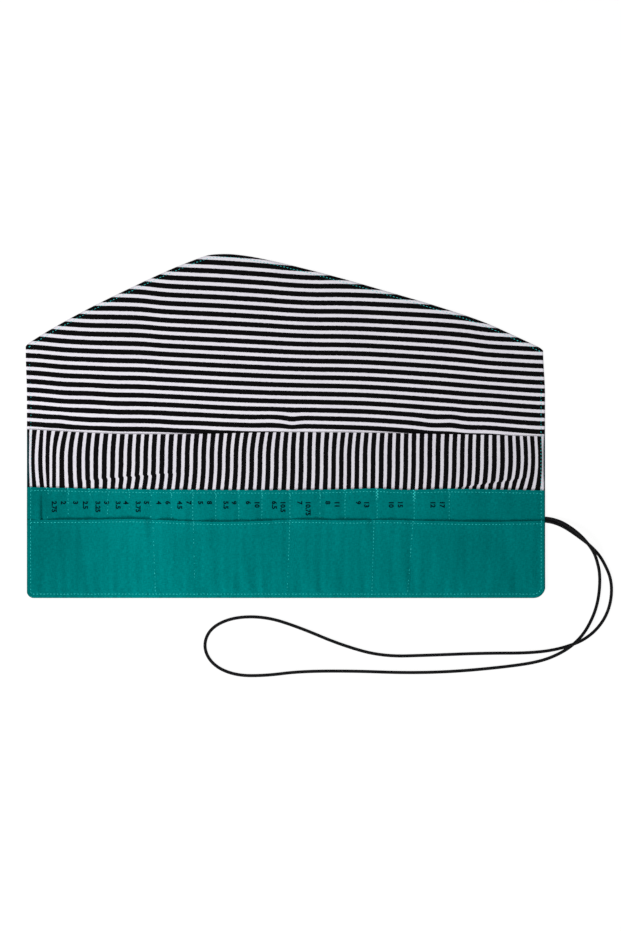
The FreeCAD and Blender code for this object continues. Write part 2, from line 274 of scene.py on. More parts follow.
def stations(points, x):
    # A smooth line through a few chosen places
    if x <= points[0][0]:
        return points[0][1]
    if x >= points[-1][0]:
        return points[-1][1]
    i = bisect.bisect_right(points, (x, math.inf)) - 1
    (x0, y0), (x1, y1) = points[i], points[i + 1]
    wide = x1 - x0
    t = (x - x0) / wide
    bend = t * (1 - t) * wide
    return (y0 + (y1 - y0) * t * t * (3 - 2 * t)
            + bend * ((1 - t) * slopeAt(points, i) - t * slopeAt(points, i + 1)))


flapLine = [
    (-259, 81), (-234, 96.6), (-198, 116.6), (-150, 140.4), (-114, 157), (-90, 166.6), (-78, 170.6),
    (-66, 171.8), (-52, 171.5), (-30, 168.4), (6, 160.4), (54, 148), (102, 134.2), (150, 120.2),
    (198, 104.2), (234, 88.4), (259, 76.8),
]


def sideDistance(x):
    return min(x - case["left"], case["right"] - x)


def flapEdge(x):
    turn = case["shoulderDrop"] * (1 - min(max(sideDistance(x), 0.0) / case["shoulderTurn"], 1.0)) ** 2
    return stations(flapLine, x) - turn


def lowEdge(x):
    inset = sideDistance(x)
    corner = case["leftCorner"] if x < 0 else case["rightCorner"]
    if inset >= corner:
        return case["bottom"]
    return case["bottom"] + corner - math.sqrt(max(corner ** 2 - (corner - inset) ** 2, 0.0))


def edgeDistance(x, y):
    lean = (flapEdge(x + 1.0) - flapEdge(x - 1.0)) / 2.0
    top = (flapEdge(x) - y) / math.sqrt(1 + lean * lean)
    return max(min(sideDistance(x), y - lowEdge(x), top), 0.0)


def rounded(distance, radius):
    share = 1 - min(distance / radius, 1.0)
    return math.sqrt(max(1 - share * share, 0.0))


# Thicknesses, then how the edges, seams, hem and folds shape the cloth
cloth = dict(
    shell=0.8, padding=0.9, lining=0.6, slip=0.5, pocket=0.6, air=0.1, clearance=0.03,
    seamHeight=1.25, edgeRound=2.2, rim=0.08, rimAir=0.02, closeReach=4.0,
    sag=0.55, pucker=0.14, puckerReach=8.0, groove=0.2, grooveWide=0.9,
    topInset=3.6, sideInset=4.2, slantInset=3.3, tuckSpan=9.0,
    channelPuff=1.15, shownFrom=11.0, shownOver=14.0, usualWidth=30.0,
    crease=3.2, creaseX=-243.3, creaseWide=3.2, creaseFrom=32.0, creaseOver=22.0,
    frontPuff=0.9, mouthPuff=1.5, mouthReach=16.0, footFrom=3.0, footReach=18.0,
    wrinkle=2.4, wrinkleFrom=4.0, wrinkleOver=6.0, wrinkleFull=10.0, wrinkleFade=18.0,
    hem=0.4, hemTall=8.0, hemEase=1.2,
)
# How wide and tall each kind of unevenness is, and its place in the noise
waves = dict(
    broad=(70.0, 55.0, 3.1), soft=(28.0, 31.0, 8.7), pucker=(6.0, 6.0, 0.4), channel=(19.0, 40.0, 21.0),
    wrinkle=(8.0, 60.0, 60.0), front=(15.0, 60.0, 44.0), frontSoft=(33.0, 26.0, 4.0), thread=(6.0, 6.0, 5.0),
)
mouths = dict(
    slip=[(-259, -3.4), (-218, -5.6), (-166, -8.0), (-116, -8.2), (-66, -7.6), (-20, -6.4), (40, -6.4),
          (100, -7.0), (144, -8.0), (192, -8.8), (254, -10.4), (259, -10.6)],
    needle=[(-259, -61.0), (-190, -62.6), (-120, -63.6), (0, -64.0), (60, -63.2), (88, -62.4),
            (120, -63.8), (163, -62.8), (259, -64.4)],
    front=[(-259, -93.6), (-190, -93.4), (-150, -93.0), (-90, -95.2), (-60, -95.6), (-20, -94.6),
           (6, -93.4), (60, -94.2), (100, -93.8), (150, -95.0), (200, -95.6), (259, -94.8)],
)
# How far each mouth stands off the cloth below, and how far down that reaches
gapes = dict(slip=(0.8, 5.0), needle=(0.35, 4.0), front=(1.1, 4.5), pitch=42.0, noisePlace=12.0)
frontSeams = [(-133.0, -130.0), (-92.4, -91.0), (4.0, 1.0), (88.0, 85.5), (127.0, 121.0)]


def wave(kind, x, y):
    wide, tall, place = waves[kind]
    return noise.noise(Vector((x / wide, y / tall, place)))


def mouthAt(name, x):
    return stations(mouths[name], x)


def sag(x, y):
    # Broad, soft unevenness of cloth that lies on a table
    value = wave("broad", x, y) + 0.5 * wave("soft", x, y)
    return cloth["sag"] * (0.5 + 0.5 * value)


def pucker(x, y):
    # The stitched edge draws the cloth into small ripples beside the seam's groove
    away = edgeDistance(x, y) - cloth["topInset"]
    fade = math.exp(-(away / cloth["puckerReach"]) ** 2)
    groove = cloth["groove"] * math.exp(-(away / cloth["grooveWide"]) ** 2)
    return cloth["pucker"] * wave("pucker", x, y) * fade - groove


def edgeShare(x, y):
    return rounded(edgeDistance(x, y), cloth["edgeRound"])


def liningTop(x, y):
    full = cloth["shell"] + cloth["padding"] + cloth["lining"] + cloth["air"] + sag(x, y) + pucker(x, y)
    return cloth["seamHeight"] + (full - cloth["seamHeight"]) * edgeShare(x, y)


def liningThickness(x, y):
    # At the seam all round, the lining closes down onto the shell
    share = eased(edgeDistance(x, y) / cloth["closeReach"])
    atSeam = liningTop(x, y) - cloth["shell"] - cloth["clearance"]
    return atSeam + (cloth["lining"] - atSeam) * share


def layerRise(x, y, name):
    return cloth["rim"] + edgeShare(x, y) * (cloth[name] + cloth["air"])


def layerThickness(name):
    return lambda x, y: cloth["rim"] - cloth["rimAir"] + edgeShare(x, y) * (cloth[name] - cloth["air"])


def hemRise(x, y):
    # The front pocket is thicker where its mouth is turned over
    share = eased((cloth["hemTall"] - mouthAt("front", x) + y) / cloth["hemEase"] + 0.5)
    return cloth["hem"] * share * edgeShare(x, y)


def gape(x, y, mouth):
    # A pocket's mouth stands off the cloth below, unevenly along its length
    lift, reach = gapes[mouth]
    down = mouthAt(mouth, x) - y
    uneven = 0.65 + 0.7 * noise.noise(Vector((x / gapes["pitch"], lift, gapes["noisePlace"])))
    return lift * uneven * math.exp(-max(down, 0.0) / reach) * edgeShare(x, y)


def slipFlat(x, y):
    return liningTop(x, y) + layerRise(x, y, "slip")


def slipTop(x, y):
    return slipFlat(x, y) + gape(x, y, "slip")


def channelShare(x):
    # 0 at a seam, 1 over the middle of a channel
    for low, high in zip(seams, seams[1:]):
        if x <= high:
            span = min(x - low, high - x)
            return eased(span / min((high - low) / 2, cloth["tuckSpan"])), high - low
    return 0.0, 1.0


def needlePuff(x, y):
    # The channels stand up between their mouth and the front pocket, and lie flat below it
    share, width = channelShare(x)
    shown = eased((y - case["frontMouth"] + cloth["shownFrom"]) / cloth["shownOver"])
    uneven = 0.8 + 0.5 * wave("channel", x, y)
    # two soft folds in the first channel meet in a dark valley
    away = abs(x - cloth["creaseX"]) / cloth["creaseWide"]
    atFoot = eased((case["frontMouth"] + cloth["creaseFrom"] - y) / cloth["creaseOver"])
    fold = away * math.exp(1 - away) * (cloth["crease"] * shown * atFoot)
    wideShare = 0.8 + 0.2 * min(width / cloth["usualWidth"], 1.5)
    return cloth["channelPuff"] * share * shown * uneven * wideShare + fold


def needleTop(x, y):
    lift = needlePuff(x, y) + gape(x, y, "needle")
    return slipFlat(x, y) + layerRise(x, y, "pocket") + lift


def frontSeamX(line, y):
    # Each seam of the front pocket drifts a little on its way down
    down = (case["frontMouth"] - y) / (case["frontMouth"] - case["bottom"])
    return line[0] + (line[1] - line[0]) * down


def wrinkle(x, y):
    # Upright soft folds that the bottom seam draws into the pocket
    up = y - case["bottom"]
    fade = eased((up - cloth["wrinkleFrom"]) / cloth["wrinkleOver"])
    fade *= 0.35 + 0.65 * math.exp(-max(up - cloth["wrinkleFull"], 0.0) / cloth["wrinkleFade"])
    return cloth["wrinkle"] * fade * wave("wrinkle", x, y)


def frontTop(x, y):
    lines = [case["left"]] + [frontSeamX(line, y) for line in frontSeams] + [case["right"]]
    gap = min(abs(x - line) for line in lines)
    share = eased(gap / cloth["tuckSpan"])
    inset = eased((y - case["bottom"] - cloth["footFrom"]) / cloth["footReach"])
    uneven = 0.7 + 0.6 * wave("front", x, y) + 0.3 * wave("frontSoft", x, y)
    atMouth = eased((y - case["frontMouth"] + cloth["mouthReach"]) / cloth["mouthReach"])
    puff = cloth["frontPuff"] * uneven * share * inset * (1 - atMouth) + cloth["mouthPuff"] * share * atMouth
    puff += wrinkle(x, y)
    lip = gape(x, y, "front") * (0.3 + 0.7 * share)
    return slipFlat(x, y) + 2 * layerRise(x, y, "pocket") + puff + lip + hemRise(x, y)


def frontThickness(x, y):
    return layerThickness("pocket")(x, y) + hemRise(x, y)


# The right side of the flap draws in, and so does the striped cloth at both ends of the slip pocket
shape = dict(
    flapDraw=2.0, flapSpread=1.2, flapDrawFrom=29.0, flapDrawOver=48.0, flapDrawReach=160.0,
    tuckLeft=2.0, tuckRight=1.6, tuckY=-34.0, tuckTall=27.0, tuckReach=9.0,
)


def drawnIn(x, y):
    raised = eased((y - shape["flapDrawFrom"]) / shape["flapDrawOver"])
    right = max(1 - (case["right"] - x) / shape["flapDrawReach"], 0.0)
    left = max(1 - (x - case["left"]) / shape["flapDrawReach"], 0.0)
    return x - raised * (shape["flapDraw"] * right + shape["flapSpread"] * left)


def tuckedIn(x, y):
    tall = math.exp(-((y - shape["tuckY"]) / shape["tuckTall"]) ** 4)
    left = shape["tuckLeft"] * tall * math.exp(-(x - case["left"]) / shape["tuckReach"])
    right = shape["tuckRight"] * tall * math.exp(-(case["right"] - x) / shape["tuckReach"])
    return drawnIn(x, y) + left - right


# Distances from a rim at which the grid of a cloth has a line, so that the rim is round
rimOffsets = (0.15, 0.45, 0.9, 1.5, 2.2, 3.2, 4.6, 6.5)
closest = 0.12
folds = dict(flapReach=5.5, leftReach=9.5, rightReach=13.0, step=1.1)
foldRows = [folds["step"] * i for i in range(int(2 * folds["flapReach"] / folds["step"]) + 1)]
keyColumns = [case["leftFold"], 0.0, case["rightFold"]]
for fold, reach in ((case["leftFold"], folds["leftReach"]), (case["rightFold"], folds["rightReach"])):
    # close together where the cloth turns over
    count = int(reach / folds["step"])
    keyColumns += [fold + reach * i / count for i in range(-count, count + 1)]


def columnsBetween(low, high, step, extra):
    # Columns close together at the case's sides and wherever extra asks
    places = {low, high}
    places.update(x for x in extra if low <= x <= high)
    count = max(int(round((high - low) / step)), 1)
    places.update(low + (high - low) * i / count for i in range(count + 1))
    for offset in rimOffsets:
        places.update(x for x in (case["left"] + offset, case["right"] - offset) if low < x < high)
    ordered = sorted(places)
    kept = [ordered[0]]
    for x in ordered[1:]:
        near = x - kept[-1] < closest
        if near and x != high:
            continue
        if near:
            kept.pop()
        kept.append(x)
    return kept


def rowsBetween(step, low, high, lowEdgeRound, highEdgeRound):
    # Rows as (end, offset) so that both rims get the same close spacing in every column
    offsets = (0.0,) + rimOffsets
    lowRows = [("low", offset) for offset in (offsets if lowEdgeRound else foldRows)]
    highRows = [("high", offset) for offset in reversed(offsets)] if highEdgeRound else [("high", 0.0)]
    count = max(int((high - low) / step), 2)
    middle = [("share", i / count) for i in range(1, count)]
    return lowRows + middle + highRows


def rowPlace(row, low, high, lowReach, highReach):
    kind, value = row
    if kind == "low":
        return low + value
    if kind == "high":
        return high - value
    return low + lowReach + (high - highReach - low - lowReach) * value


def layerMesh(name, columns, rows, lowLine, highLine, topHeight, thickness, uvAt, warp):
    # A closed sheet: its upper and lower face over the same grid, with walls between
    lowReach = max(value for kind, value in rows if kind == "low")
    highReach = max(value for kind, value in rows if kind == "high")
    places = []
    for x in columns:
        low, high = lowLine(x), highLine(x)
        places += [(x, rowPlace(row, low, high, lowReach, highReach)) for row in rows]
    tops = [topHeight(x, y) for x, y in places]
    vertices = [(warp(x, y) * mm, y * mm, z * mm) for (x, y), z in zip(places, tops)]
    vertices += [(warp(x, y) * mm, y * mm, (z - thickness(x, y)) * mm) for (x, y), z in zip(places, tops)]
    wide, tall, count = len(columns), len(rows), len(places)
    faces = []
    for i in range(wide - 1):
        for j in range(tall - 1):
            a = i * tall + j
            b, c, d = a + tall, a + tall + 1, a + 1
            faces.append((a, b, c, d))
            faces.append((count + a, count + d, count + c, count + b))
    ring = [i * tall for i in range(wide)]
    ring += [(wide - 1) * tall + j for j in range(1, tall)]
    ring += [i * tall + tall - 1 for i in range(wide - 2, -1, -1)]
    ring += list(range(tall - 2, 0, -1))
    rim = set()
    for a, b in zip(ring, ring[1:] + ring[:1]):
        faces.append((a, count + a, count + b, b))
        rim.update([frozenset((a, b)), frozenset((count + a, count + b))])
    mesh = bpy.data.meshes.new(name)
    mesh.from_pydata(vertices, [], faces)
    uvs = [uvAt(x, y) for x, y in places] * 2
    layer = mesh.uv_layers.new(name="cloth")
    for loop in mesh.loops:
        layer.data[loop.index].uv = uvs[loop.vertex_index]
    mesh.polygons.foreach_set("use_smooth", [True] * len(mesh.polygons))
    for edge in mesh.edges:
        edge.use_edge_sharp = frozenset(edge.vertices) in rim
    mesh.update()
    return placed(name, mesh)


# ---- cloth materials
stripes = dict(
    period=8.4, darkShare=0.606, soft=0.02, ragged=0.04, pitch=1500.0,
    raggedScale=(400, 400), yarnScale=(260, 2600), broadScale=35.0,
    dark=(0.0006, 0.0006, 0.0012, 1), worn=(0.0045, 0.004, 0.0042, 1),
    pale=(0.86, 0.832, 0.90, 1), yarn=(0.74, 0.712, 0.80, 1), bright=(0.90, 0.88, 0.92, 1),
    roughness=0.85, specular=0.05, relief=0.35, reliefDepth=0.00012,
)
teal = dict(
    light=(0.0, 0.205, 0.200, 1), deep=(0.0, 0.150, 0.147, 1), pitch=1400.0, uneven=0.075,
    fineScale=(260, 1500), foldShadeStreakScale=(210, 20), broadScale=22.0,
    roughness=0.9, specular=0.0, relief=0.5, reliefDepth=0.00016,
    # the last list is painted light falloff: how bright the teal is painted at each X across the case
    paintedLightFalloff=[(-259, 0.74), (259, 0.88), (-226, 0.82), (-190, 0.96), (-155, 1.12), (-110, 1.06), (-50, 1.0),
         (60, 0.98), (130, 0.97), (170, 0.90)],
)
plain = dict(fuzz=1800.0, shade=0.8, roughness=0.9, specular=0.0, relief=0.4, reliefDepth=0.0002)


def wovenHeight(graph, uv, threads):
    # Over-and-under height of a plain weave
    parts = graph.split(graph.scaled(uv, threads * math.pi, threads * math.pi))
    return graph.math("MULTIPLY", graph.math("SINE", parts[0]), graph.math("SINE", parts[1]))


def stripedMaterial(name, tone=1.0):
    # Printed stripes run along the cloth's second axis, one each period
    graph = Graph(name)
    uv = graph.clothUv()
    ragged = graph.math("SUBTRACT", graph.noise(graph.scaled(uv, *stripes["raggedScale"]), 1.0, 0.0), 0.5)
    ragged = graph.math("MULTIPLY", ragged, stripes["ragged"])
    count = graph.math("ADD", graph.math("MULTIPLY", graph.split(uv)[1], 1000.0 / stripes["period"]), ragged)
    place = graph.math("SUBTRACT", graph.math("FRACT", graph.math("ADD", count, 0.5)), 0.5)
    half, soft = stripes["darkShare"] / 2, stripes["soft"]
    dark = graph.ranged(graph.math("ABSOLUTE", place), half - soft, half + soft, 1.0, 0.0)
    yarn = graph.noise(graph.scaled(uv, *stripes["yarnScale"]), 1.0, 2.0)
    yarn = graph.ranged(yarn, 0.3, 0.7, 0.0, 1.0)
    broad = graph.noise(uv, stripes["broadScale"], 2.0)
    pale = graph.mix(yarn, stripes["pale"], stripes["yarn"])
    pale = graph.mix(graph.ranged(broad, 0.35, 0.65, 0.0, 0.4), pale, stripes["bright"])
    deep = graph.mix(yarn, stripes["dark"], stripes["worn"])
    # a tone under 1 darkens the pale stripes as painted shade, for the slip pocket's copy of this cloth
    pale = graph.mix(1.0, pale, (tone, tone, tone, 1), "MULTIPLY")
    return graph.finish(graph.mix(dark, pale, deep), wovenHeight(graph, uv, stripes["pitch"]), stripes)


def tealMaterial():
    graph = Graph("tealCotton")
    uv = graph.clothUv()
    along = graph.noise(graph.scaled(uv, *teal["fineScale"]), 1.0, 3.0)
    across = graph.noise(graph.scaled(uv, *reversed(teal["fineScale"])), 1.0, 3.0)
    broad = graph.noise(uv, teal["broadScale"], 3.0)
    foldShadeStreak = graph.noise(graph.scaled(uv, *teal["foldShadeStreakScale"]), 1.0, 4.0)
    fine = graph.math("MULTIPLY", graph.math("ADD", along, across), 0.5)
    share = graph.ranged(fine, 0.42, 0.58, 0.0, 1.0)
    colour = graph.mix(share, teal["deep"], teal["light"])
    # the teal's tone varies by broad random patches, and by upright streaks that are painted shade of soft
    # folds
    uneven = graph.math("ADD", graph.math("MULTIPLY", broad, 0.35), graph.math("MULTIPLY", foldShadeStreak, 0.65))
    uneven = graph.ranged(uneven, 0.38, 0.62, 1 - teal["uneven"], 1 + teal["uneven"])
    # painted light: the teal is brightest a little left of the middle and darker towards both ends, as the
    # light falls off across the case
    ramp = graph.tree.nodes.new("ShaderNodeValToRGB")
    ramp.color_ramp.interpolation = "B_SPLINE"
    first, last = case["left"], case["right"]
    for index, (place, tone) in enumerate(teal["paintedLightFalloff"]):
        position = (place - first) / (last - first)
        stops = ramp.color_ramp.elements
        stop = stops[index] if index < 2 else stops.new(position)
        stop.position = position
        stop.color = (tone / 2, tone / 2, tone / 2, 1)
    graph.put(ramp.inputs[0], graph.ranged(graph.split(uv)[0], first * mm, last * mm, 0.0, 1.0))
    tone = graph.math("MULTIPLY", graph.math("MULTIPLY", ramp.outputs["Color"], 2.0), uneven)
    rough = graph.math("ADD", graph.math("MULTIPLY", wovenHeight(graph, uv, teal["pitch"]), 0.5), fine)
    return graph.finish(graph.mix(1.0, colour, tone, "MULTIPLY"), rough, teal)


def plainCloth(name, colour):
    graph = Graph(name)
    where = graph.tree.nodes.new("ShaderNodeTexCoord").outputs["Object"]
    fuzz = graph.noise(where, plain["fuzz"], 3.0)
    low = tuple(c * plain["shade"] for c in colour) + (1,)
    return graph.finish(graph.mix(fuzz, low, colour + (1,)), fuzz, plain)


striped = stripedMaterial("stripedCotton")
# the slip pocket's copy of the striped cloth, its pale stripes darkened as painted shade
stripedPocketShaded = stripedMaterial("stripedPocketShaded", 0.9)
tealCotton = tealMaterial()
# a much darker teal, painted shade for the sliver of shell seen past the lining
tealPaintedShade = plainCloth("tealPaintedShade", (0.002, 0.045, 0.055))
threadCotton = plainCloth("tealThread", (0.05, 0.70, 0.68))
darkInk = plainCloth("darkInk", (0.001, 0.010, 0.014))
felt = plainCloth("wadding", (0.78, 0.77, 0.74))

# ---- how the stripes run
# Drop of the horizontal stripes from a level line, at two heights up the lining
liningDrift = dict(
    highY=87.0, lowY=6.0, zeroY=1.3, growth=0.001, pitch=8.38,
    high=[(-259, -10.3), (-246, -9.6), (-221, -7.4), (-196, -6.0), (-171, -5.3), (-146, -4.6), (-121, -2.7),
          (-96, -1.4), (-66, 0.1), (-21, 2.5), (4, 3.9), (29, 4.8), (54, 5.1), (84, 6.1), (144, 9.5),
          (179, 12.3), (204, 15.4), (229, 16.9), (249, 18.0), (259, 18.4)],
    low=[(-259, -9.4), (-246, -8.5), (-221, -6.3), (-196, -5.8), (-171, -4.2), (-146, -3.9), (-121, -3.2),
         (-96, -2.0), (-66, -0.4), (-21, 1.2), (4, 1.6), (29, 2.0), (84, 3.8), (144, 8.0), (179, 10.9),
         (204, 12.0), (229, 14.1), (249, 15.6), (259, 16.0)],
    ripples=[(6, 4, 7, 9, 1.4), (-16, 6, 12, 12, -0.8), (-226, 5, 9, 10, -0.9), (-196, 4, 12, 10, 1.0),
             (144, 2, 12, 10, 0.9), (166, 6, 9, 12, -0.9), (-110, 3, 16, 8, 0.6)],
)


def liningUv(x, y):
    drift = liningDrift
    share = (y - drift["lowY"]) / (drift["highY"] - drift["lowY"])
    drop = stations(drift["low"], x) * (1 - share) + stations(drift["high"], x) * share
    for cx, cy, wide, tall, depth in drift["ripples"]:
        drop += depth * math.exp(-((x - cx) / wide) ** 2 - ((y - cy) / tall) ** 2)
    up = y + drop - drift["zeroY"]
    count = up / (drift["pitch"] + drift["growth"] * up)
    return x * mm, count * stripes["period"] * mm


# Sideways shift of the upright stripes at the pocket's mouth, middle and foot
slipLean = dict(
    mouthY=-10.0, middleY=-34.0, footY=-58.0, zeroX=-245.9, pitch=8.135,
    middle=[(-259, 1.4), (-253, -0.1), (-246, 0.2), (-238, -0.7), (-229, -2.4), (-216, -2.1), (-204, -1.1),
            (-190, -0.5), (-178, 0.2), (-153, 0.7), (-129, 0.6), (-104, 0.8), (-79, 1.0), (-55, 0.7),
            (-31, 0.3), (-6, 0.5), (18, 0.8), (43, 0.9), (66, -0.3), (90, -0.6), (115, -0.4), (139, -1.0),
            (163, -1.0), (187, -2.4), (212, -2.3), (235, -2.2), (248, -3.2), (259, -3.8)],
    mouth=[(-259, 1.6), (-249, 1.9), (-241, 1.0), (-235, 1.8), (-228, 3.0), (-220, 2.8), (-211, 2.1),
           (-194, 1.6), (-181, 1.5), (-126, 1.1), (-66, 1.5), (-26, 2.2), (24, 0.7), (60, 1.6), (79, 1.3),
           (127, 0.3), (175, 0.7), (214, -0.2), (238, -1.4), (259, -1.6)],
    foot=[(-259, 2.4), (-249, 1.8), (-241, 1.7), (-235, 0.1), (-228, -0.1), (-220, 0.6), (-203, 0.5),
          (-181, -0.6), (-155, -1.9), (-126, -1.7), (-79, -1.3), (-55, -1.2), (-26, -0.8), (24, -0.6),
          (79, -0.3), (127, -0.8), (165, -0.9), (190, -1.5), (214, -2.0), (238, -3.6), (259, -1.6)],
    jogs=[(-156, -50.5, 0.65, 46, 0.08), (200, -57.6, -0.85, 36, 0.14)], jogSharp=0.35,
)


def slipUv(x, y):
    lean = slipLean
    end = "mouth" if y > lean["middleY"] else "foot"
    share = (y - lean["middleY"]) / (lean[end + "Y"] - lean["middleY"])
    shift = stations(lean[end], x) * share * share + stations(lean["middle"], x)
    for cx, cy, depth, wide, rise in lean["jogs"]:
        below = cy + rise * (x - cx) - y
        shift += depth * math.tanh(below / lean["jogSharp"]) * math.exp(-((x - cx) / wide) ** 4)
    count = (x - shift - lean["zeroX"]) / lean["pitch"]
    return y * mm, count * stripes["period"] * mm


def constant(value):
    return lambda *place: value


def plainUv(x, y):
    return x * mm, y * mm


# ---- the cloth pieces, cut where the case folds
flapStart = case["flapFold"] - folds["flapReach"]
baseRegions = {"Left": (case["left"], 0.0, ["left", "centre"]), "Right": (0.0, case["right"], ["right"])}
baseBends = {
    "Left": ("left_panel", "centre_panel", case["leftFold"], folds["leftReach"]),
    "Right": ("centre_panel", "right_panel", case["rightFold"], folds["rightReach"]),
}
flapRegions = {
    "Left": (case["left"], case["leftFold"], "left"),
    "Centre": (case["leftFold"], case["rightFold"], "centre"),
    "Right": (case["rightFold"], case["right"], "right"),
}
grid = dict(layers=3.0, slip=1.6, pocket=2.5, crease=0.8, flapTop=150.0)


def bendBase(piece, region):
    first, second, fold, reach = baseBends[region]
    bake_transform(piece)


def bendFlap(piece, region):
    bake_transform(piece)


# How the wadding ends short of the edge, and how the shell turns up there
inner = dict(padInset=6.3, padFrom=5.0, padRound=3.0, thin=0.05, lift=0.35, liftRound=1.8, groove=0.25,
             upward=0.9)


def padTop(x, y):
    full = cloth["shell"] + cloth["padding"]
    rise = full * rounded(edgeDistance(x, y) - inner["padFrom"], inner["padRound"])
    return max(rise, cloth["shell"] + inner["thin"])


def shellThickness(x, y):
    # Underneath, the edge turns up a little and the seam draws a groove
    away = edgeDistance(x, y)
    groove = inner["groove"] * math.exp(-((away - cloth["topInset"]) / cloth["grooveWide"]) ** 2)
    return cloth["shell"] - (inner["lift"] * (1 - rounded(away, inner["liftRound"])) + groove)


# Upper face, thickness, pattern, look, slot, node, inset and sideways draw of each layer
layers = {
    "outerShell": (constant(cloth["shell"]), shellThickness, plainUv, tealCotton,
                   "teal_cotton", "outer_shell", 0.0, drawnIn),
    "wadding": (padTop, constant(cloth["padding"] - inner["thin"]), plainUv, felt,
                "felt", "interlining", inner["padInset"], drawnIn),
    "lining": (liningTop, liningThickness, liningUv, striped, "striped_cotton", "lining", 0.0, tuckedIn),
}


def finishSheet(piece, material, slotName, nodes):
    piece.data.materials.append(material)
    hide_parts(*nodes)


def paintShadeOnShellTop(piece):
    # Painted shade: the shell's upward faces, seen as a thin sliver past the lining, get a much darker teal
    piece.data.materials.append(tealPaintedShade)
    for face in piece.data.polygons:
        if face.normal.z > inner["upward"]:
            face.material_index = 1


def makeBaseLayers():
    for layer, (topAt, thickAt, uvAt, look, slotName, nodeName, inset, warp) in layers.items():
        for region, (low, high, panels) in baseRegions.items():
            x0, x1 = max(low, case["left"] + inset), min(high, case["right"] - inset)
            columns = columnsBetween(x0, x1, grid["layers"], keyColumns)
            rows = rowsBetween(grid["layers"], case["bottom"], flapStart, True, False)
            piece = layerMesh(f"{layer}{region}", columns, rows, lambda x: lowEdge(x) + inset,
                              constant(flapStart), topAt, thickAt, uvAt, warp)
            finishSheet(piece, look, slotName, [f"{panel}_{nodeName}" for panel in panels])
            if layer == "outerShell":
                paintShadeOnShellTop(piece)
            bendBase(piece, region)
        for region, (low, high, panel) in flapRegions.items():
            x0, x1 = max(low, case["left"] + inset), min(high, case["right"] - inset)
            columns = columnsBetween(x0, x1, grid["layers"], keyColumns)
            rows = rowsBetween(grid["layers"], flapStart, grid["flapTop"], False, True)
            piece = layerMesh(f"{layer}Flap{region}", columns, rows, constant(flapStart),
                              lambda x: flapEdge(x) - inset, topAt, thickAt, uvAt, warp)
            tall = max(flapEdge(x) for x in columns) - flapStart
            finishSheet(piece, look, slotName, [f"{panel}_flap_{nodeName}"])
            bendFlap(piece, region)


makeBaseLayers()
print("shell, wadding and lining cut and sewn")

seamColumns = [cloth["creaseX"] + grid["crease"] * i for i in range(-10, 11)]
seamColumns += [seam + side for seam in seams for side in (-6.0, -3.6, -2.0, -0.9, 0.0, 0.9, 2.0, 3.6, 6.0)]
# Upper face, thickness, pattern, look, slot, grid step, extra columns and sideways draw of each pocket
pockets = {
    "slip": (slipTop, layerThickness("slip"), slipUv, stripedPocketShaded,
             "striped_cotton", grid["slip"], [], tuckedIn),
    "needle": (needleTop, layerThickness("pocket"), plainUv, tealCotton,
               "teal_cotton", grid["pocket"], seamColumns, drawnIn),
    "front": (frontTop, frontThickness, plainUv, tealCotton,
              "teal_cotton", grid["pocket"], seamColumns, drawnIn),
}


def makePockets():
    for mouth, (topAt, thickAt, uvAt, look, slotName, step, extra, warp) in pockets.items():
        tall = mouthAt(mouth, 0)
        for region, (low, high, panels) in baseRegions.items():
            columns = columnsBetween(low, high, step, keyColumns + extra)
            rows = rowsBetween(step, case["bottom"], tall, True, True)
            piece = layerMesh(f"{mouth}Pocket{region}", columns, rows, lowEdge, lambda x: mouthAt(mouth, x),
                              topAt, thickAt, uvAt, warp)
            nodes = [f"{panel}_{mouth}_pocket" for panel in panels]
            if mouth == "front":
                nodes += [f"{panel}_hems" for panel in panels]
            finishSheet(piece, look, slotName, nodes)
            bendBase(piece, region)


makePockets()
print("pockets on")


# ---- stitching: one chain of thread along each seam, in the lower, middle and upper cloth
thread = dict(
    pitch=3.4, length=2.0, width=0.5, tall=0.42, wander=0.1, turn=0.12, seed=7, proud=0.02, stepDown=0.35,
    sink=0.26, leftSink=0.13, leftReach=6.0, hemDrops=dict(needle=3.0, front=2.7), hemEnds=4.0,
    zigzag=(91.0, 128.0), zigWide=0.75, zigStep=1.6, zigPoints=7, tackHigh=0.1,
)


